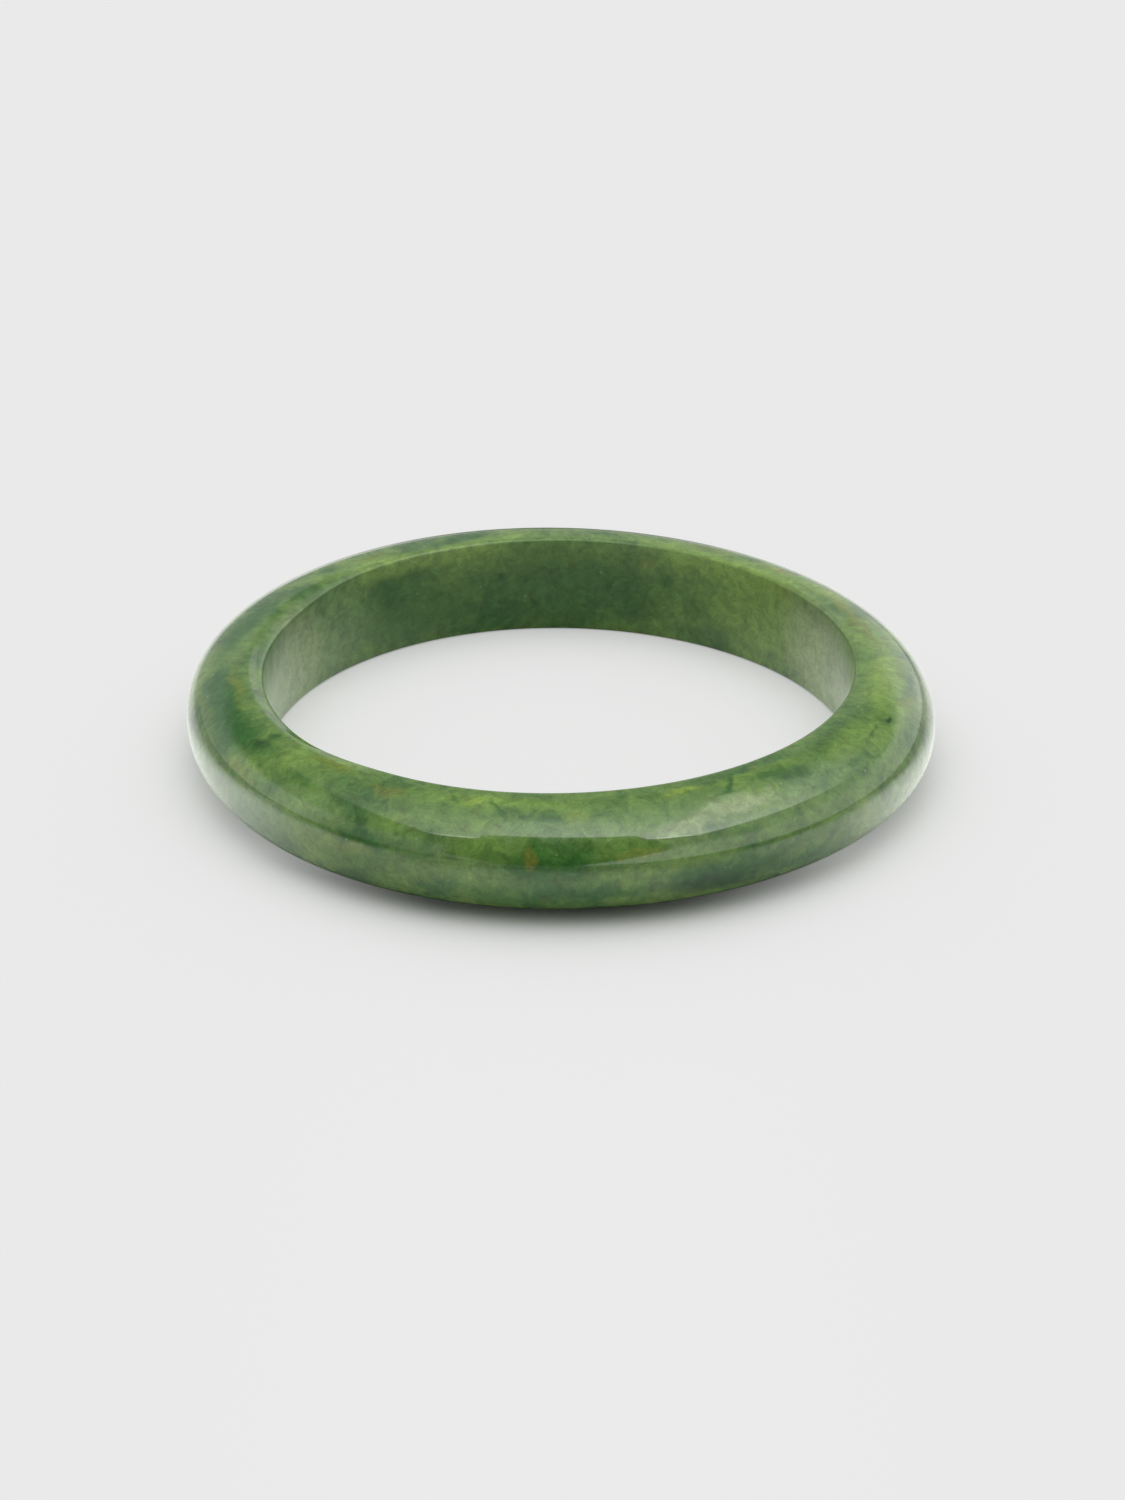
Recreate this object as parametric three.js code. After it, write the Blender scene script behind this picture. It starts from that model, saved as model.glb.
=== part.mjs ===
// Bangle bracelet: one closed ring of polished green stone, cut from a single block.
// Millimetres, +Z up. The ring lies flat, the origin is the middle of its lower face, and -Y is its front.
import * as THREE from "three";

// Driving dimensions of the D-shaped section
const boreRadius = 29; // inside of the ring, where the wrist goes
const rimRadius = 36.6; // outside of the ring, at its widest
const height = 10.3;
const edgeWidth = 0.45; // radial size of the small rounding between the bore and each end face
const edgeDepth = 0.3; // size of that rounding along the bore
const faceWidth = 1; // flat end face between the edge rounding and the dome
const domeFullness = 2.18; // superellipse exponent: 2 is an ellipse, more has fuller shoulders

// Grinding by hand leaves the ring slightly uneven. Each wave adds depth * cos(lobes * angle) to a size. The
// angle counts in degrees from the wave's azimuth, and azimuths count from the front towards +X.
const boreWaves = [
  { lobes: 2, depth: 0.13, azimuth: -10 },
  { lobes: 3, depth: 0.2, azimuth: -40 },
];
const rimWaves = [
  { lobes: 2, depth: 0.63, azimuth: 46 },
  { lobes: 3, depth: 0.28, azimuth: -41 },
];
const widestDrop = 0.2; // how far the widest line lies below mid height
const dropWaves = [{ lobes: 1, depth: 0.23, azimuth: 90 }];

// Fineness of the faceted surface
const stepsAround = 96;
const stepsOnDome = 20;
const stepsOnEdge = 3;

const faceInside = boreRadius + edgeWidth;
const faceOutside = faceInside + faceWidth;

// Points along the dome, from the lower end face, over the outside, to the upper end face.
function domePoints() {
  const points = [];
  const reach = rimRadius - faceOutside;
  const power = 2 / domeFullness;
  for (let step = 0; step <= stepsOnDome; step += 1) {
    const angle = Math.PI * (step / stepsOnDome - 0.5);
    const out = Math.max(0, Math.cos(angle)) ** power;
    const up = Math.sign(angle) * Math.abs(Math.sin(angle)) ** power;
    points.push(new THREE.Vector2(faceOutside + reach * out, (height / 2) * (1 + up)));
  }
  return points;
}

// Points along one edge rounding, from its end face to the bore. The sign is 1 on top and -1 below.
function edgePoints(sign) {
  const points = [];
  const middle = height / 2 - edgeDepth;
  for (let step = 0; step <= stepsOnEdge; step += 1) {
    const angle = (Math.PI / 2) * (step / stepsOnEdge);
    const radius = faceInside - edgeWidth * Math.sin(angle);
    const offset = middle + edgeDepth * Math.cos(angle);
    points.push(new THREE.Vector2(radius, height / 2 + sign * offset));
  }
  return points;
}

// The whole section as (radius, height) points, anticlockwise and closed on itself.
function sectionPoints() {
  const lowerEdge = edgePoints(-1).reverse();
  const points = [...domePoints(), ...edgePoints(1), ...lowerEdge];
  points.push(points[0].clone());
  return points;
}

// The change of radius that a list of waves makes at an azimuth in radians.
function waviness(waves, azimuth) {
  return waves.reduce((sum, wave) => {
    const angle = azimuth - THREE.MathUtils.degToRad(wave.azimuth);
    return sum + wave.depth * Math.cos(wave.lobes * angle);
  }, 0);
}

// The radius that grinding gives: the bore's waves on the bore, the rim's on the rim, a blend between.
function groundRadius(radius, azimuth) {
  const share = (radius - boreRadius) / (rimRadius - boreRadius);
  return radius + (1 - share) * waviness(boreWaves, azimuth) + share * waviness(rimWaves, azimuth);
}

// The height that grinding gives: mid height moves down by the drop, and the end faces stay.
function groundHeight(z, azimuth) {
  const drop = widestDrop + waviness(dropWaves, azimuth);
  return z - drop * (1 - Math.abs((2 * z) / height - 1));
}

// Moves each vertex of the revolved section to where grinding leaves it.
function grind(geometry) {
  const position = geometry.getAttribute("position");
  for (let index = 0; index < position.count; index += 1) {
    const x = position.getX(index);
    const y = position.getY(index);
    const radius = Math.hypot(x, y);
    const azimuth = Math.atan2(x, -y);
    const scale = groundRadius(radius, azimuth) / radius;
    position.setXYZ(index, x * scale, y * scale, groundHeight(position.getZ(index), azimuth));
  }
}

// Revolves the section about +Z and grinds it.
function ringGeometry() {
  const geometry = new THREE.LatheGeometry(sectionPoints(), stepsAround);
  geometry.rotateX(Math.PI / 2);
  grind(geometry);
  geometry.computeVertexNormals();
  return geometry;
}

function polishedJade() {
  return new THREE.MeshStandardMaterial({ color: 0x5c8045, roughness: 0.12, metalness: 0 });
}

function bangleRing() {
  const ring = new THREE.Mesh(ringGeometry(), polishedJade());
  ring.name = "bangle_ring";
  return ring;
}

const bangle = new THREE.Group();
bangle.add(bangleRing());

export default bangle;
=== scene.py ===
"""A bangle of polished green jade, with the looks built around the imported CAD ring.

Everything is in metres in the CAD's frame: the ring lies flat on z = 0 around the origin, and -Y is its
front. Azimuths count in degrees from the front towards +X. Sizes of the ring are in millimetres, times MM.
"""

import math

import bpy
import numpy as np
from mathutils import Matrix


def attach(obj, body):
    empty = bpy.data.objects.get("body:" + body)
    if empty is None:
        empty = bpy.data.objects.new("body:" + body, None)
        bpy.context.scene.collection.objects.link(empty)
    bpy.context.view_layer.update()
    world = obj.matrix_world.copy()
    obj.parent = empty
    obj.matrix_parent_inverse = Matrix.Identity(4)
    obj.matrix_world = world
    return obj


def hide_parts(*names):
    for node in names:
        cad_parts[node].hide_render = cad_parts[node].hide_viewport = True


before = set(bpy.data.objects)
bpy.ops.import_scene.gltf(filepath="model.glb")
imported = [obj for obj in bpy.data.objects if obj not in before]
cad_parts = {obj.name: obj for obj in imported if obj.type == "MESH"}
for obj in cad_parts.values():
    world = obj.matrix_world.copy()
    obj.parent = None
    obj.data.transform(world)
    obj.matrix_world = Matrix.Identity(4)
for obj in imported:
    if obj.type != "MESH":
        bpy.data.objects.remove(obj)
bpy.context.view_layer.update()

MM = 0.001

# Camera
LENS = 94.6  # millimetres
SENSOR = 36  # millimetres along the picture's long side
CAMERA_PLACE = (0, -0.34975, 0.17312)
CAMERA_PITCH = 26.31  # degrees below the horizontal
CAMERA_YAW = 0.08
CAMERA_ROLL = 0.17

# Section of the ring, as the CAD has it
BORE_RADIUS = 29 * MM
RIM_RADIUS = 36.6 * MM
HEIGHT = 10.3 * MM
EDGE_WIDTH = 0.45 * MM
EDGE_DEPTH = 0.3 * MM
FACE_WIDTH = 1 * MM
DOME_FULLNESS = 2.18
WIDEST_DROP = 0.2 * MM
FACE_INSIDE = BORE_RADIUS + EDGE_WIDTH
FACE_OUTSIDE = FACE_INSIDE + FACE_WIDTH

# Unevenness from grinding by hand, as the CAD has it: (lobes, depth, azimuth)
BORE_WAVES = [(2, 0.13 * MM, -10), (3, 0.2 * MM, -40)]
RIM_WAVES = [(2, 0.63 * MM, 46), (3, 0.28 * MM, -41)]
DROP_WAVES = [(1, 0.23 * MM, 90)]

# The upper inner edge is ground back further along part of the ring
BEVEL_AZIMUTH = -84
BEVEL_SPAN = 52  # degrees to each side, fading out over the last of them
BEVEL_FADE = 26
BEVEL_WIDTH = 1.4 * MM
BEVEL_DEPTH = 0.58 * MM

# Fineness of the mesh
STEPS_AROUND = 512
STEPS_ON_DOME = 100
STEPS_ON_EDGE = 8
STEPS_ON_FACE = 6
STEPS_ON_BORE = 22

# Light and floor
FLOOR_RADIANCE = 0.81  # where 1 renders as white
FLOOR_COLOUR = 0.8
SHADOW_LIFT = 0.35  # share of the ring's shadow that the camera's overexposure fills
FLOOR_SIZE = 12


# ---------------------------------------------------------------- camera

def make_camera():
    data = bpy.data.cameras.new("camera")
    data.lens = LENS
    data.sensor_width = SENSOR
    data.clip_start = 0.01
    data.clip_end = 50
    camera = bpy.data.objects.new("camera", data)
    bpy.context.scene.collection.objects.link(camera)
    yaw = Matrix.Rotation(math.radians(-CAMERA_YAW), 4, "Z")
    tilt = Matrix.Rotation(math.radians(90 - CAMERA_PITCH), 4, "X")
    roll = Matrix.Rotation(math.radians(-CAMERA_ROLL), 4, "Z")
    camera.matrix_world = Matrix.Translation(CAMERA_PLACE) @ yaw @ tilt @ roll
    bpy.context.scene.camera = camera


# ---------------------------------------------------------------- shader graph helper

class Graph:
    """Adds nodes to a node tree and returns their output sockets, so that a graph reads as a sum."""

    def __init__(self, tree):
        self.tree = tree
        tree.nodes.clear()

    def node(self, kind, **settings):
        node = self.tree.nodes.new(kind)
        for name, value in settings.items():
            setattr(node, name, value)
        return node

    def feed(self, socket, value):
        if isinstance(value, bpy.types.NodeSocket):
            self.tree.links.new(value, socket)
        else:
            socket.default_value = value

    def math(self, operation, *values):
        node = self.node("ShaderNodeMath", operation=operation)
        for socket, value in zip(node.inputs, values):
            self.feed(socket, value)
        return node.outputs[0]

    def add(self, first, *others):
        for other in others:
            first = self.math("ADD", first, other)
        return first

    def times(self, first, *others):
        for other in others:
            first = self.math("MULTIPLY", first, other)
        return first

    def vector(self, operation, *values):
        node = self.node("ShaderNodeVectorMath", operation=operation)
        for socket, value in zip(node.inputs, values):
            self.feed(socket, value)
        return node.outputs["Value"] if operation == "LENGTH" else node.outputs["Vector"]

    def split(self, vector):
        """The x, y and z of a vector."""
        node = self.node("ShaderNodeSeparateXYZ")
        self.feed(node.inputs[0], vector)
        return node.outputs

    def ramp(self, value, low, high, start=0.0, end=1.0):
        """A smooth step from start at low to end at high."""
        return self.map_range("SMOOTHSTEP", value, low, high, start, end)

    def line(self, value, low, high, start=0.0, end=1.0):
        """A straight, clamped change from start at low to end at high."""
        return self.map_range("LINEAR", value, low, high, start, end)

    def map_range(self, interpolation, *values):
        node = self.node("ShaderNodeMapRange", interpolation_type=interpolation)
        for socket, value in zip(node.inputs, values):
            self.feed(socket, value)
        return node.outputs[0]

    def blend(self, share, first, second, kind="MIX"):
        node = self.node("ShaderNodeMix", data_type="RGBA", blend_type=kind)
        self.feed(node.inputs[0], share)
        self.feed(node.inputs[6], first)
        self.feed(node.inputs[7], second)
        return node.outputs[2]

    def number_blend(self, share, first, second):
        node = self.node("ShaderNodeMix", data_type="FLOAT")
        for socket, value in zip(node.inputs[0:1] + node.inputs[2:4], (share, first, second)):
            self.feed(socket, value)
        return node.outputs[0]

    def noise(self, place, size, detail=4.0, roughness=0.5, distortion=0.0, output="Fac"):
        node = self.node("ShaderNodeTexNoise")
        self.feed(node.inputs["Vector"], place)
        self.feed(node.inputs["Scale"], 1 / size)
        self.feed(node.inputs["Detail"], detail)
        self.feed(node.inputs["Roughness"], roughness)
        self.feed(node.inputs["Distortion"], distortion)
        return node.outputs[output]


# ---------------------------------------------------------------- light

def behind_panel_front(graph, plan_x, plan_y):
    """How far a point lies behind the panel's front edge, which steps forward at both sides."""
    front_edge = graph.ramp(graph.math("ABSOLUTE", plan_x), 0.28, 0.47, -0.50, -0.75)
    return graph.math("SUBTRACT", plan_y, front_edge)


def panel_mask(graph, plan_x, plan_y):
    """1 inside the overhead light. The plan is the ceiling at height 1, seen from the ring."""
    front = graph.ramp(behind_panel_front(graph, plan_x, plan_y), -0.015, 0.015)
    left = graph.ramp(plan_x, -0.77, -0.73)
    right_edge = graph.math("MULTIPLY_ADD", plan_y, 0.45, 1.13)
    right = graph.ramp(graph.math("SUBTRACT", right_edge, plan_x), -0.02, 0.02)
    return graph.times(front, left, right)


def panel_glint(graph, plan_x, plan_y):
    """1 along the two slanting parts of the panel's front edge, which shine as bright lines."""
    behind = behind_panel_front(graph, plan_x, plan_y)
    line = graph.ramp(graph.math("ABSOLUTE", graph.math("SUBTRACT", behind, 0.03)), 0.0, 0.03, 1, 0)
    aside = graph.math("ABSOLUTE", plan_x)
    return graph.times(line, graph.ramp(aside, 0.42, 0.50), graph.ramp(aside, 0.64, 0.76, 1, 0))


def person_mask(graph, x, y, z):
    """1 where somebody dark stands at the front, wide above and narrow at the foot."""
    ahead = graph.math("MAXIMUM", graph.math("MULTIPLY", y, -1.0), 0.01)
    level = graph.math("SQRT", graph.add(graph.times(x, x), graph.times(y, y)))
    rise = graph.math("DIVIDE", z, graph.math("MAXIMUM", level, 0.01))
    aside = graph.math("DIVIDE", x, ahead)
    right_edge = graph.math("MINIMUM", graph.math("MULTIPLY_ADD", rise, 1.35, 0.04), 0.62)
    left_edge = graph.math("MINIMUM", graph.math("MULTIPLY_ADD", rise, 2.3, 0.27), 0.66)
    shoulder = graph.math("MAXIMUM", graph.math("SUBTRACT", rise, 0.9), 0.0)
    left_edge = graph.add(left_edge, graph.times(shoulder, -0.2))
    right = graph.ramp(graph.math("SUBTRACT", right_edge, aside), -0.03, 0.03)
    left = graph.ramp(graph.math("ADD", left_edge, aside), -0.06, 0.06)
    front = graph.ramp(y, -0.02, 0.02, 1, 0)
    return graph.times(right, left, front)


def wall_light(graph, x, y, z):
    """Pale walls, brightest low down, with a dark line along the floor and a darker left front part."""
    fade = graph.line(x, 0.0, 0.5, -1.0, -0.1)
    wall = graph.add(graph.times(graph.math("MAXIMUM", y, 0.0), fade), 1.45)
    upper = graph.add(graph.times(graph.math("MAXIMUM", x, 0.0), 0.85), 0.25)
    left_front = graph.number_blend(graph.ramp(x, -0.1, 0.1), graph.ramp(y, -0.35, -0.1, 0.45, 1.0), 1.0)
    wall = graph.number_blend(graph.ramp(z, 0.36, 0.52), graph.times(wall, left_front), upper)
    skirting = graph.ramp(graph.math("ABSOLUTE", graph.math("SUBTRACT", z, 0.012)), 0.0, 0.022, 0.15, 1.0)
    skirting = graph.number_blend(graph.ramp(y, 0.72, 0.90), skirting, 1.0)
    return graph.times(wall, skirting)


def panel_light(graph, plan_x, plan_y):
    """The overhead light is brightest at its front edge and towards the right, and fades to the back."""
    back = graph.times(graph.math("MAXIMUM", plan_y, 0.0), -1.5)
    front = graph.times(graph.math("MINIMUM", plan_y, 0.0), -0.75)
    glow = graph.math("EXPONENT", graph.add(back, front))
    sideways = graph.line(plan_x, -0.8, 1.0, 0.5, 1.6)
    glint = graph.times(panel_glint(graph, plan_x, plan_y), 6.0)
    return graph.add(graph.math("MAXIMUM", graph.times(glow, sideways, 1.65), 0.25), glint)


def reflected_light(graph, x, y, z):
    """What the polish mirrors: an overhead light panel, pale walls and a dark figure at the front."""
    rise = graph.math("MAXIMUM", z, 0.02)
    plan_x = graph.math("DIVIDE", x, rise)
    plan_y = graph.math("DIVIDE", y, rise)
    figure = graph.times(person_mask(graph, x, y, z), 0.97)
    room = graph.times(wall_light(graph, x, y, z), graph.math("SUBTRACT", 1.0, figure))
    above = graph.ramp(z, 0.38, 0.50)
    panel = graph.times(panel_mask(graph, plan_x, plan_y), above)
    room = graph.number_blend(panel, room, panel_light(graph, plan_x, plan_y))
    return graph.number_blend(graph.ramp(z, -0.03, -0.02, 1, 0), room, FLOOR_RADIANCE)


def shading_light(graph, x, y, z):
    """What lights the stone and the floor: mostly a soft light overhead, and low ones on all four sides."""
    rise = graph.math("MAXIMUM", z, 0.0)
    wide = graph.times(graph.math("POWER", rise, 4.0), 1.47)
    narrow = graph.times(graph.math("POWER", rise, 8.0), 1.78)
    behind = graph.times(graph.math("MAXIMUM", y, 0.0), 0.50)
    ahead = graph.math("POWER", graph.math("MAXIMUM", graph.math("MULTIPLY", y, -1.0), 0.0), 6.0)
    beside = graph.math("POWER", graph.math("ABSOLUTE", x), 3.0)
    return graph.add(wide, narrow, behind, graph.times(ahead, 0.64), graph.times(beside, 0.35))


def make_world():
    """A white studio. Glossy rays see the room in detail, the camera sees plain white paper, and all other
    rays see the room's light blurred."""
    world = bpy.data.worlds.new("studio")
    bpy.context.scene.world = world
    world.use_nodes = True
    graph = Graph(world.node_tree)
    direction = graph.node("ShaderNodeTexCoord").outputs["Generated"]
    x, y, z = graph.split(direction)
    ray = graph.node("ShaderNodeLightPath").outputs
    blurred = shading_light(graph, x, y, z)
    detailed = reflected_light(graph, x, y, z)
    light = graph.number_blend(ray["Is Glossy Ray"], blurred, detailed)
    light = graph.number_blend(ray["Is Camera Ray"], light, FLOOR_RADIANCE)
    background = graph.node("ShaderNodeBackground")
    graph.feed(background.inputs["Strength"], light)
    background.inputs["Color"].default_value = (1, 1, 1, 1)
    output = graph.node("ShaderNodeOutputWorld")
    graph.tree.links.new(background.outputs[0], output.inputs[0])


def mirrored_gain(graph, place):
    """How bright the floor looks in the polish: brighter than to the camera, which shows it overexposed. It
    is dimmer towards the middle and with distance, and brighter again in a strip close ahead of the ring."""
    x, y = graph.split(place)[:2]
    aside = graph.math("ABSOLUTE", x)
    outside = graph.times(
        graph.ramp(aside, 3 * MM, 50 * MM, 0.35, 2.1),
        graph.ramp(y, -34 * MM, -12 * MM, 0.72, 1.15),
        graph.ramp(y, -14 * MM, 14 * MM, 1.0, 0.5))
    inside = graph.times(
        graph.ramp(aside, 3 * MM, 26 * MM, 0.35, 2.2),
        graph.ramp(y, -5 * MM, 35 * MM, 1.0, 0.4))
    within = graph.ramp(graph.vector("LENGTH", place), 30 * MM, 32 * MM, 1, 0)
    gain = graph.number_blend(within, outside, inside)
    middle = graph.ramp(aside, 10 * MM, 30 * MM, 1, 0)
    ahead = graph.times(graph.ramp(y, -42 * MM, -30 * MM, 0.65, 0.0), middle)
    far_ahead = graph.ramp(y, -95 * MM, -40 * MM, 0.3, 1.0)
    far_corner = graph.ramp(y, -62 * MM, -38 * MM, 0.4, 1.0)
    far = graph.number_blend(middle, far_corner, far_ahead)
    beside = graph.ramp(aside, 40 * MM, 90 * MM, 1.0, 0.45)
    return graph.times(graph.add(gain, ahead), far, beside)


def shadow_lift(graph, place):
    """How far the camera's overexposure fills the ring's shadow: beside and inside the ring, not in front."""
    x, y = graph.split(place)[:2]
    beside = graph.ramp(graph.math("ABSOLUTE", x), 8 * MM, 34 * MM, 0.0, SHADOW_LIFT)
    behind = graph.ramp(y, -33 * MM, -20 * MM, 0.0, SHADOW_LIFT)
    return graph.math("MAXIMUM", beside, behind)


def make_floor():
    half = FLOOR_SIZE / 2
    mesh = bpy.data.meshes.new("floor")
    corners = [(-half, -half, 0), (half, -half, 0), (half, half, 0), (-half, half, 0)]
    mesh.from_pydata(corners, [], [(0, 1, 2, 3)])
    floor = bpy.data.objects.new("floor", mesh)
    bpy.context.scene.collection.objects.link(floor)
    material = bpy.data.materials.new("floor")
    material.use_nodes = True
    graph = Graph(material.node_tree)
    ray = graph.node("ShaderNodeLightPath").outputs
    place = graph.node("ShaderNodeTexCoord").outputs["Object"]
    paper = graph.node("ShaderNodeBsdfDiffuse")
    colour = graph.number_blend(ray["Is Glossy Ray"], FLOOR_COLOUR, mirrored_gain(graph, place))
    graph.feed(paper.inputs["Color"], colour)
    glow = graph.node("ShaderNodeEmission")
    glow.inputs["Strength"].default_value = FLOOR_RADIANCE
    mix = graph.node("ShaderNodeMixShader")
    graph.feed(mix.inputs[0], graph.times(shadow_lift(graph, place), ray["Is Camera Ray"]))
    graph.tree.links.new(paper.outputs[0], mix.inputs[1])
    graph.tree.links.new(glow.outputs[0], mix.inputs[2])
    output = graph.node("ShaderNodeOutputMaterial")
    graph.tree.links.new(mix.outputs[0], output.inputs[0])
    mesh.materials.append(material)


# ---------------------------------------------------------------- ring

def span(low, high, steps):
    """Evenly spaced numbers from low up to, but not including, high."""
    return np.linspace(low, high, steps, endpoint=False)


def dome_points():
    angle = math.pi * (span(0, 1, STEPS_ON_DOME) - 0.5)
    power = 2 / DOME_FULLNESS
    out = np.maximum(0, np.cos(angle)) ** power
    up = np.sign(angle) * np.abs(np.sin(angle)) ** power
    radius = FACE_OUTSIDE + (RIM_RADIUS - FACE_OUTSIDE) * out
    return np.column_stack([radius, HEIGHT / 2 * (1 + up)])


def upper_edge_points():
    angle = math.pi / 2 * span(0, 1, STEPS_ON_EDGE)
    radius = FACE_INSIDE - EDGE_WIDTH * np.sin(angle)
    height = HEIGHT - EDGE_DEPTH * (1 - np.cos(angle))
    return np.column_stack([radius, height])


def lower_edge_points():
    angle = math.pi / 2 * (1 - span(0, 1, STEPS_ON_EDGE))
    radius = FACE_INSIDE - EDGE_WIDTH * np.sin(angle)
    height = EDGE_DEPTH * (1 - np.cos(angle))
    return np.column_stack([radius, height])


def section_points():
    """The whole section as (radius, height), from the lower end face over the outside and down the bore."""
    face = span(0, 1, STEPS_ON_FACE)
    upper_face = np.column_stack([FACE_OUTSIDE - FACE_WIDTH * face, np.full(STEPS_ON_FACE, HEIGHT)])
    bore_height = HEIGHT - EDGE_DEPTH - (HEIGHT - 2 * EDGE_DEPTH) * span(0, 1, STEPS_ON_BORE)
    bore = np.column_stack([np.full(STEPS_ON_BORE, BORE_RADIUS), bore_height])
    lower_face = np.column_stack([FACE_INSIDE + FACE_WIDTH * face, np.zeros(STEPS_ON_FACE)])
    parts = [dome_points(), upper_face, upper_edge_points(), bore, lower_edge_points(), lower_face]
    return np.vstack(parts)


def waviness(waves, azimuth):
    return sum(depth * np.cos(lobes * (azimuth - math.radians(start))) for lobes, depth, start in waves)


def smooth_step(value):
    value = np.clip(value, 0, 1)
    return value * value * (3 - 2 * value)


def bevel_drop(radius, height, azimuth):
    """How far the bevel lowers a point near the upper inner edge."""
    aside = np.abs((azimuth - math.radians(BEVEL_AZIMUTH) + math.pi) % (2 * math.pi) - math.pi)
    along = smooth_step((math.radians(BEVEL_SPAN) - aside) / math.radians(BEVEL_FADE))
    across = np.clip(1 - (radius - BORE_RADIUS) / BEVEL_WIDTH, 0, 1)
    upper = np.clip((height - HEIGHT / 2) / (HEIGHT / 2 - EDGE_DEPTH), 0, 1)
    return BEVEL_DEPTH * along * across * upper


def ring_points():
    """Vertices by azimuth and section step, moved to where grinding leaves them."""
    section = section_points()
    azimuth = span(-math.pi, math.pi, STEPS_AROUND)[:, None]
    radius = section[:, 0][None, :] + 0 * azimuth
    height = section[:, 1][None, :] + 0 * azimuth
    share = (radius - BORE_RADIUS) / (RIM_RADIUS - BORE_RADIUS)
    ground = radius + (1 - share) * waviness(BORE_WAVES, azimuth) + share * waviness(RIM_WAVES, azimuth)
    drop = WIDEST_DROP + waviness(DROP_WAVES, azimuth)
    lowered = height - drop * (1 - np.abs(2 * height / HEIGHT - 1))
    lowered = lowered - bevel_drop(radius, height, azimuth)
    return np.stack([ground * np.sin(azimuth), -ground * np.cos(azimuth), lowered], axis=-1)


def ring_faces(around, across):
    faces = []
    for i in range(around):
        for j in range(across):
            next_i = (i + 1) % around
            next_j = (j + 1) % across
            faces.append((i * across + j, next_i * across + j, next_i * across + next_j, i * across + next_j))
    return faces


def make_ring():
    points = ring_points()
    around, across = points.shape[:2]
    mesh = bpy.data.meshes.new("jade_ring")
    mesh.from_pydata(points.reshape(-1, 3).tolist(), [], ring_faces(around, across))
    mesh.validate()
    mesh.polygons.foreach_set("use_smooth", [True] * len(mesh.polygons))
    mesh.materials.append(make_jade())
    ring = bpy.data.objects.new("jade_ring", mesh)
    bpy.context.scene.collection.objects.link(ring)
    return ring


# ---------------------------------------------------------------- jade

# Colours of the stone, linear; LEAF, CREAM and MIST also paint light and reflection in the marked patches
FOREST = (0.022, 0.105, 0.016)
DEEP = (0.048, 0.125, 0.032)
GREEN = (0.115, 0.210, 0.050)
LEAF = (0.185, 0.300, 0.060)
YELLOW = (0.260, 0.360, 0.050)
OLIVE = (0.140, 0.195, 0.025)
OCHRE = (0.240, 0.245, 0.045)
CREAM = (0.290, 0.370, 0.180)
MIST = (0.170, 0.275, 0.110)
INK = (0.012, 0.045, 0.014)

# How the stone takes light
POLISHED_ROUGHNESS = (0.035, 0.10)
BORE_ROUGHNESS = 0.28
JADE_IOR = 1.61
SUBSURFACE_SHARE = 0.35
SUBSURFACE_REACH = 0.45 * MM  # times the radius of each colour
SUBSURFACE_RADIUS = (0.8, 1.0, 0.6)
BUMP_STRENGTH = 0.12
BUMP_HEIGHT = 0.01 * MM

# Patches mixed into the stone's colour: most are its own clouds, veins and specks, and some are painted light
# and painted reflection, as marked below. Columns: colour, strength, azimuth, radius and height in mm, then
# the half sizes along the ring, out from the axis and up, in mm, and the slant in degrees that turns it out
# of the ring's direction.

# Left of the front: forest clouds, with yellow at the inner edge
LEFT_PATCHES = [
    (FOREST, 0.95, -77, 33.0, 9.8, 8.0, 2.2, 2.2, -8),
    (FOREST, 0.80, -84, 33.0, 9.8, 1.3, 2.4, 1.6, 20),
    (FOREST, 0.90, -66, 33.5, 9.6, 7.0, 2.0, 2.2, 4),
    (FOREST, 0.60, -58, 33.2, 9.8, 4.0, 1.0, 1.2, 12),
    (INK, 0.60, -57, 32.9, 10.0, 1.1, 0.8, 0.8, 0),
    (FOREST, 0.80, -56.5, 31.6, 10.2, 0.9, 0.6, 0.6, 0),
    (FOREST, 0.55, -44, 33.9, 9.4, 2.2, 0.6, 0.8, -10),
    (OLIVE, 0.65, -80, 31.3, 10.2, 5.0, 0.8, 0.8, 0),
    (OLIVE, 0.80, -42, 31.0, 10.2, 3.0, 0.7, 0.8, 0),
    (OLIVE, 0.30, -77, 34.7, 9.0, 3.2, 0.8, 0.9, 0),
    (OCHRE, 0.35, -58, 35.7, 7.9, 3.5, 0.7, 0.7, 0),
    (OCHRE, 0.35, -29, 32.3, 10.1, 2.2, 1.0, 1.0, 0),
    (FOREST, 0.90, -30, 36.2, 6.9, 4.5, 1.0, 1.0, 0),
    (OLIVE, 0.50, -33, 36.5, 5.8, 4.5, 1.0, 0.9, 0),
    (MIST, 0.60, -50, 36.4, 5.6, 7.0, 1.0, 2.0, 0),
    (MIST, 0.45, -40, 35.0, 8.6, 5.0, 0.9, 0.9, 0),
]

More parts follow.
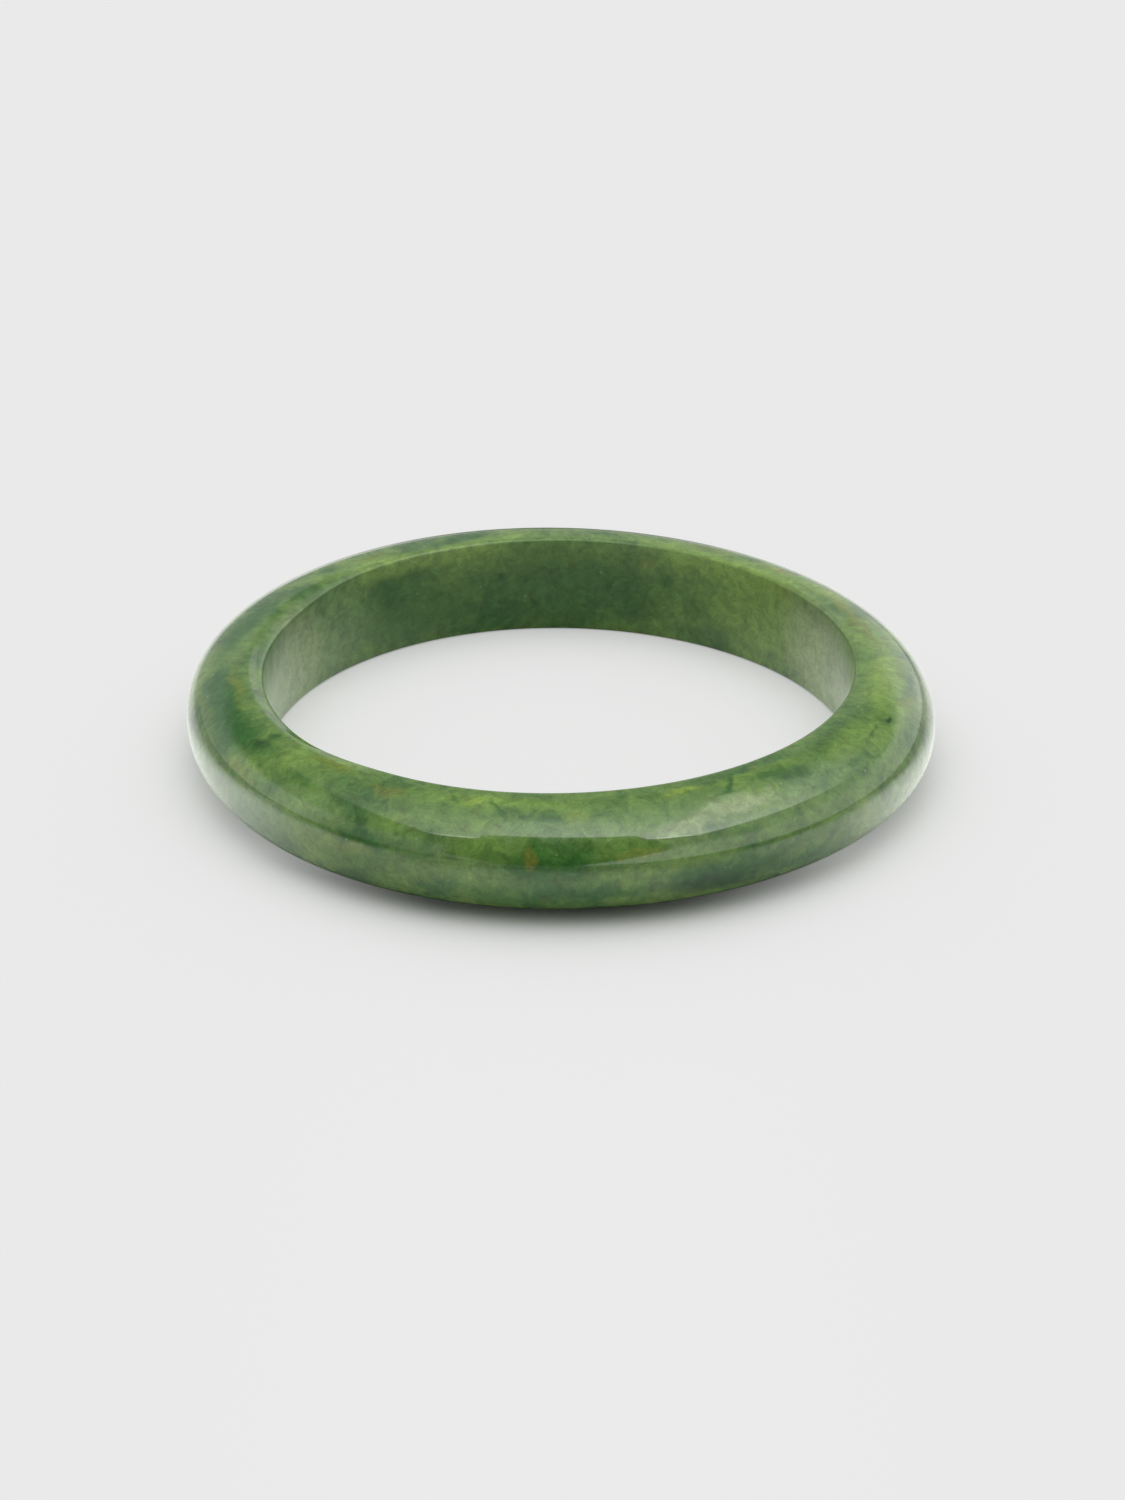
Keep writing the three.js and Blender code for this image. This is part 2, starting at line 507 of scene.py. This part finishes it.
# The front
FRONT_PATCHES = [
    (FOREST, 0.65, 0, 36.4, 6.6, 10.5, 1.3, 1.8, 0),
    (LEAF, 0.70, -10, 31.3, 10.2, 7.0, 1.3, 1.0, 0),
    (YELLOW, 0.45, -14, 31.6, 10.2, 1.6, 1.0, 0.8, 30),
    (FOREST, 0.60, -9, 32.9, 10.0, 0.35, 2.2, 0.9, 32),
    (FOREST, 0.50, -17, 31.4, 10.2, 0.35, 1.1, 0.6, 12),
    (MIST, 0.60, 0, 34.4, 9.3, 9.0, 1.2, 1.2, 0),
    (OCHRE, 0.60, -4.2, 36.1, 7.0, 0.75, 0.7, 1.0, 0),
    (YELLOW, 0.30, 3, 33.2, 9.9, 1.0, 1.1, 0.9, 0),
    (OCHRE, 0.35, 12, 36.0, 7.3, 2.6, 0.6, 0.5, 0),
    (OCHRE, 0.30, -2, 35.9, 2.6, 0.9, 0.8, 0.9, 0),
    (FOREST, 0.55, -6, 36.0, 2.6, 12.0, 1.2, 2.2, 0),
    (FOREST, 0.80, 6, 36.3, 3.6, 5.0, 0.9, 1.0, 0),
    (INK, 0.50, 14, 31.1, 10.3, 0.55, 0.3, 0.4, 0),
]

# Right of the front: yellow at the inner edge, a cream cloud, and deep green below
RIGHT_PATCHES = [
    (YELLOW, 0.60, 22, 30.9, 10.3, 2.3, 0.6, 0.8, 0),
    (LEAF, 0.60, 36, 31.2, 10.2, 6.0, 0.9, 0.9, 0),
    (LEAF, 0.65, 57, 32.8, 10.0, 6.0, 2.0, 1.6, 0),
    (FOREST, 0.80, 30, 31.6, 10.2, 0.35, 2.6, 0.9, -42),
    (FOREST, 0.75, 38, 31.7, 10.2, 1.9, 1.0, 0.8, 0),
    (FOREST, 0.35, 51, 32.0, 10.2, 1.3, 1.2, 0.8, 15),
    (CREAM, 0.80, 29, 34.0, 9.6, 5.0, 1.0, 1.0, 0),
    (CREAM, 0.60, 20, 34.9, 8.9, 3.5, 0.7, 0.8, 0),
    (MIST, 0.55, 44, 34.2, 9.3, 6.0, 1.2, 1.0, 0),
    (FOREST, 0.60, 29, 36.0, 7.4, 1.8, 0.6, 0.8, 15),
    (FOREST, 0.95, 24, 36.5, 4.2, 7.5, 1.0, 1.5, 0),
    (INK, 0.65, 23, 36.3, 3.2, 6.0, 1.2, 1.4, 0),
    (FOREST, 0.85, 42, 36.3, 3.2, 5.0, 1.0, 1.2, 0),
    (OCHRE, 0.60, 42, 36.6, 5.4, 0.6, 0.6, 0.5, 0),
    (MIST, 0.45, 50, 36.5, 5.0, 5.0, 0.8, 1.0, 0),
]

# The right end: leaf green, with a dark speck and its tail, and pale cream on the outside that is partly the
# stone's own cloud and partly a painted reflection of the bright floor seen at a slant
RIGHT_END_STONE_AND_PAINTED_REFLECTION = [
    (LEAF, 0.85, 82, 32.2, 10.1, 7.5, 2.0, 1.4, 0),
    (LEAF, 0.60, 68, 34.3, 9.2, 6.0, 1.6, 1.6, 0),
    # Painted reflection, in part: the pale cream at the end brightens it where the bright floor is mirrored
    # at a slant
    (CREAM, 0.60, 86, 35.8, 7.6, 9.0, 1.4, 2.0, 0),
    (CREAM, 0.60, 62, 36.3, 4.6, 9.0, 1.2, 2.0, 0),
    (YELLOW, 0.20, 84, 32.0, 10.1, 4.0, 1.2, 1.0, 0),
    (FOREST, 0.45, 67, 33.6, 9.7, 2.0, 0.9, 0.9, 0),
    (INK, 0.95, 67.5, 33.75, 9.65, 0.5, 0.32, 0.5, 20),
    (INK, 0.45, 63, 33.7, 9.6, 2.2, 0.22, 0.6, 0),
    (OLIVE, 0.85, 74.5, 31.2, 10.3, 0.5, 0.4, 0.5, 0),
    (OLIVE, 0.85, 76, 34.5, 9.1, 2.6, 0.5, 0.7, -12),
    (FOREST, 0.35, 52, 34.6, 9.0, 5.5, 0.3, 0.6, -5),
]

# The back, from right to left
BACK_PATCHES = [
    (OLIVE, 0.85, 108, 31.1, 10.3, 9.0, 0.7, 0.8, 0),
    (YELLOW, 0.55, 118, 31.6, 10.2, 4.5, 0.9, 0.8, 0),
    (OCHRE, 0.80, 132, 31.1, 10.3, 1.9, 0.7, 0.7, 0),
    (FOREST, 0.70, 140, 31.5, 10.2, 1.3, 1.1, 0.7, 20),
    (OLIVE, 0.60, 150, 31.2, 10.2, 4.0, 0.9, 0.8, 0),
    (FOREST, 0.80, 168, 31.4, 10.2, 4.5, 0.9, 0.8, 0),
    (INK, 0.70, 173, 29.9, 10.1, 0.9, 0.5, 0.25, 0),
    (FOREST, 0.85, -176, 31.4, 10.2, 1.4, 1.0, 0.8, 15),
    (FOREST, 0.85, -163, 31.8, 10.1, 3.2, 1.3, 1.0, 12),
    (FOREST, 0.65, -152, 31.8, 10.1, 1.6, 1.2, 0.9, 25),
    (OLIVE, 0.60, -143, 31.3, 10.2, 2.6, 0.9, 0.8, 0),
    (FOREST, 0.75, -132, 31.6, 10.2, 2.0, 1.3, 0.9, 25),
    (FOREST, 0.90, -106, 32.2, 10.1, 8.5, 1.7, 1.2, 0),
]

# The bore: deep green over its back, with dark specks; along its top a leaf-green band that is painted light
# shining through the thin upper edge, and at both ends pale patches that are a painted reflection of the
# floor seen at a slant
BORE_STONE_AND_PAINTED_LIGHT = [
    (INK, 0.75, -169, 29.0, 6.1, 0.9, 0.9, 0.6, 0),
    (INK, 0.60, -166.5, 29.0, 2.3, 0.6, 0.9, 0.4, 0),
    (DEEP, 0.85, 175, 29.0, 4.5, 17.0, 1.5, 4.5, 0),
    (DEEP, 0.75, -150, 29.0, 3.5, 10.0, 1.5, 4.0, 0),
    # Painted light: a leaf-green band along the top of the bore, standing for light that shines through the
    # thin upper edge
    (LEAF, 0.85, 143, 28.9, 9.9, 16.0, 1.6, 2.0, 0),
    (LEAF, 0.80, -152, 28.8, 9.9, 17.0, 1.3, 1.6, 0),
    (OCHRE, 0.25, 161, 29.0, 8.0, 0.9, 0.8, 0.8, 0),
    (OCHRE, 0.30, 127, 29.0, 9.2, 2.5, 0.8, 0.9, 0),
    (LEAF, 0.60, 132, 29.0, 5.5, 11.0, 1.5, 6.0, 0),
    # Painted reflection: pale cream and mist at both ends of the bore, standing for the bright floor mirrored
    # where the bore is seen at a slant
    (CREAM, 0.80, 112, 29.0, 5.0, 9.0, 1.5, 6.0, 0),
    (MIST, 0.55, -128, 29.0, 6.0, 6.0, 1.5, 6.0, 0),
    (CREAM, 0.60, -112, 29.0, 5.0, 7.0, 1.5, 6.0, 0),
]
PATCH_GROUPS = [LEFT_PATCHES, FRONT_PATCHES, RIGHT_PATCHES, RIGHT_END_STONE_AND_PAINTED_REFLECTION, BACK_PATCHES, BORE_STONE_AND_PAINTED_LIGHT]


def opaque(colour):
    return (*colour, 1)


def bent_place(graph, place, size, reach):
    """The place, shifted by noise, so that what is laid out on it gets ragged edges."""
    shift = graph.vector("SUBTRACT", graph.noise(place, size, detail=4, output="Color"), (0.5, 0.5, 0.5))
    return graph.vector("ADD", place, graph.vector("MULTIPLY", shift, (reach, reach, reach)))


def patch_mask(graph, place, azimuth, radius, height, along, outwards, up, slant):
    """1 inside an ellipsoid in the stone, fading towards its surface."""
    angle = math.radians(azimuth)
    node = graph.node("ShaderNodeMapping", vector_type="TEXTURE")
    graph.feed(node.inputs["Vector"], place)
    centre = (radius * math.sin(angle) * MM, -radius * math.cos(angle) * MM, height * MM)
    node.inputs["Location"].default_value = centre
    node.inputs["Rotation"].default_value = (0, 0, angle + math.radians(slant))
    node.inputs["Scale"].default_value = (along * MM, outwards * MM, up * MM)
    return graph.ramp(graph.vector("LENGTH", node.outputs[0]), 0.35, 1.35, 1, 0)


def add_patches(graph, place, colour, patches):
    """Mixes patches into the colour. Their place leans on the colour below them, which roughens their edges.
    It also makes the renderer finish that colour first: it can't hold the values of all patches at once."""
    lean = 0.6 * MM
    leaning = graph.vector("ADD", place, graph.vector("MULTIPLY", colour, (lean, lean, lean)))
    for shade, strength, *form in patches:
        share = graph.times(patch_mask(graph, leaning, *form), strength)
        colour = graph.blend(share, colour, opaque(shade))
    return colour


def streaks(graph, place, length, width, turn):
    """Noise drawn out along one direction, as the fibres of the stone lie."""
    node = graph.node("ShaderNodeMapping", vector_type="TEXTURE")
    graph.feed(node.inputs["Vector"], place)
    node.inputs["Rotation"].default_value = (math.radians(20), math.radians(-15), math.radians(turn))
    node.inputs["Scale"].default_value = (length / width, 1, 1)
    return graph.noise(node.outputs[0], width, detail=5, roughness=0.62, distortion=0.4)


def light_specks(graph, place):
    """A few tiny pale specks, scattered at random."""
    cells = graph.node("ShaderNodeTexVoronoi", feature="F1")
    graph.feed(cells.inputs["Vector"], place)
    cells.inputs["Scale"].default_value = 1 / (1.6 * MM)
    chosen = graph.ramp(graph.split(cells.outputs["Color"])[0], 0.80, 0.82)
    return graph.times(graph.ramp(cells.outputs["Distance"], 0.05, 0.13, 1, 0), chosen)


def jade_colour(graph, place):
    bent = bent_place(graph, place, 7 * MM, 6 * MM)
    cloud = graph.noise(bent, 6.5 * MM, detail=7, roughness=0.62)
    colour = graph.blend(graph.ramp(cloud, 0.36, 0.54), opaque(DEEP), opaque(GREEN))
    colour = graph.blend(graph.ramp(cloud, 0.52, 0.74, 0, 0.8), colour, opaque(LEAF))

    ragged = bent_place(graph, place, 2.2 * MM, 2.4 * MM)
    ragged = bent_place(graph, ragged, 0.6 * MM, 0.2 * MM)
    for patches in PATCH_GROUPS:
        colour = add_patches(graph, ragged, colour, patches)

    veins = streaks(graph, bent, 6 * MM, 1.1 * MM, 38)
    colour = graph.blend(graph.ramp(veins, 0.56, 0.78, 0, 0.5), colour, opaque(FOREST))
    colour = graph.blend(graph.ramp(veins, 0.44, 0.24, 0, 0.35), colour, opaque(LEAF))
    mottle = graph.noise(ragged, 1.0 * MM, detail=7, roughness=0.66, distortion=0.6)
    shade = graph.line(mottle, 0.3, 0.7, 0.76, 1.50)
    fibres = graph.line(streaks(graph, ragged, 1.6 * MM, 0.35 * MM, 62), 0.3, 0.7, 0.95, 1.05)
    fine = graph.line(graph.noise(place, 0.13 * MM, detail=2), 0.3, 0.7, 0.87, 1.13)
    shade = graph.times(shade, fibres, fine)
    grey = graph.node("ShaderNodeCombineXYZ")
    for socket in grey.inputs:
        graph.feed(socket, shade)
    colour = graph.blend(1.0, colour, grey.outputs[0], kind="MULTIPLY")
    return graph.blend(graph.times(light_specks(graph, place), 0.5), colour, opaque(CREAM))


def bore_mask(graph, place):
    """1 on the bore, which is less polished than the outside."""
    flat = graph.vector("MULTIPLY", place, (1, 1, 0))
    return graph.ramp(graph.vector("LENGTH", flat), BORE_RADIUS + 0.35 * MM, BORE_RADIUS + 0.6 * MM, 1, 0)


def make_jade():
    material = bpy.data.materials.new("jade")
    material.use_nodes = True
    graph = Graph(material.node_tree)
    place = graph.node("ShaderNodeTexCoord").outputs["Object"]
    shader = graph.node("ShaderNodeBsdfPrincipled")
    graph.feed(shader.inputs["Base Color"], jade_colour(graph, place))
    wear = graph.noise(place, 1.5 * MM, detail=5, roughness=0.6)
    polished = graph.line(wear, 0.35, 0.75, *POLISHED_ROUGHNESS)
    roughness = graph.number_blend(bore_mask(graph, place), polished, BORE_ROUGHNESS)
    graph.feed(shader.inputs["Roughness"], roughness)
    shader.inputs["IOR"].default_value = JADE_IOR
    shader.inputs["Subsurface Weight"].default_value = SUBSURFACE_SHARE
    shader.inputs["Subsurface Radius"].default_value = SUBSURFACE_RADIUS
    shader.inputs["Subsurface Scale"].default_value = SUBSURFACE_REACH
    bump = graph.node("ShaderNodeBump")
    bump.inputs["Strength"].default_value = BUMP_STRENGTH
    bump.inputs["Distance"].default_value = BUMP_HEIGHT
    graph.feed(bump.inputs["Height"], graph.noise(place, 0.5 * MM, detail=3))
    graph.feed(shader.inputs["Normal"], bump.outputs[0])
    output = graph.node("ShaderNodeOutputMaterial")
    graph.tree.links.new(shader.outputs[0], output.inputs[0])
    return material


make_camera()
bpy.context.scene.view_settings.view_transform = "Standard"
make_world()
make_floor()
jade_ring = make_ring()
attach(jade_ring, "root")
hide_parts("bangle_ring")
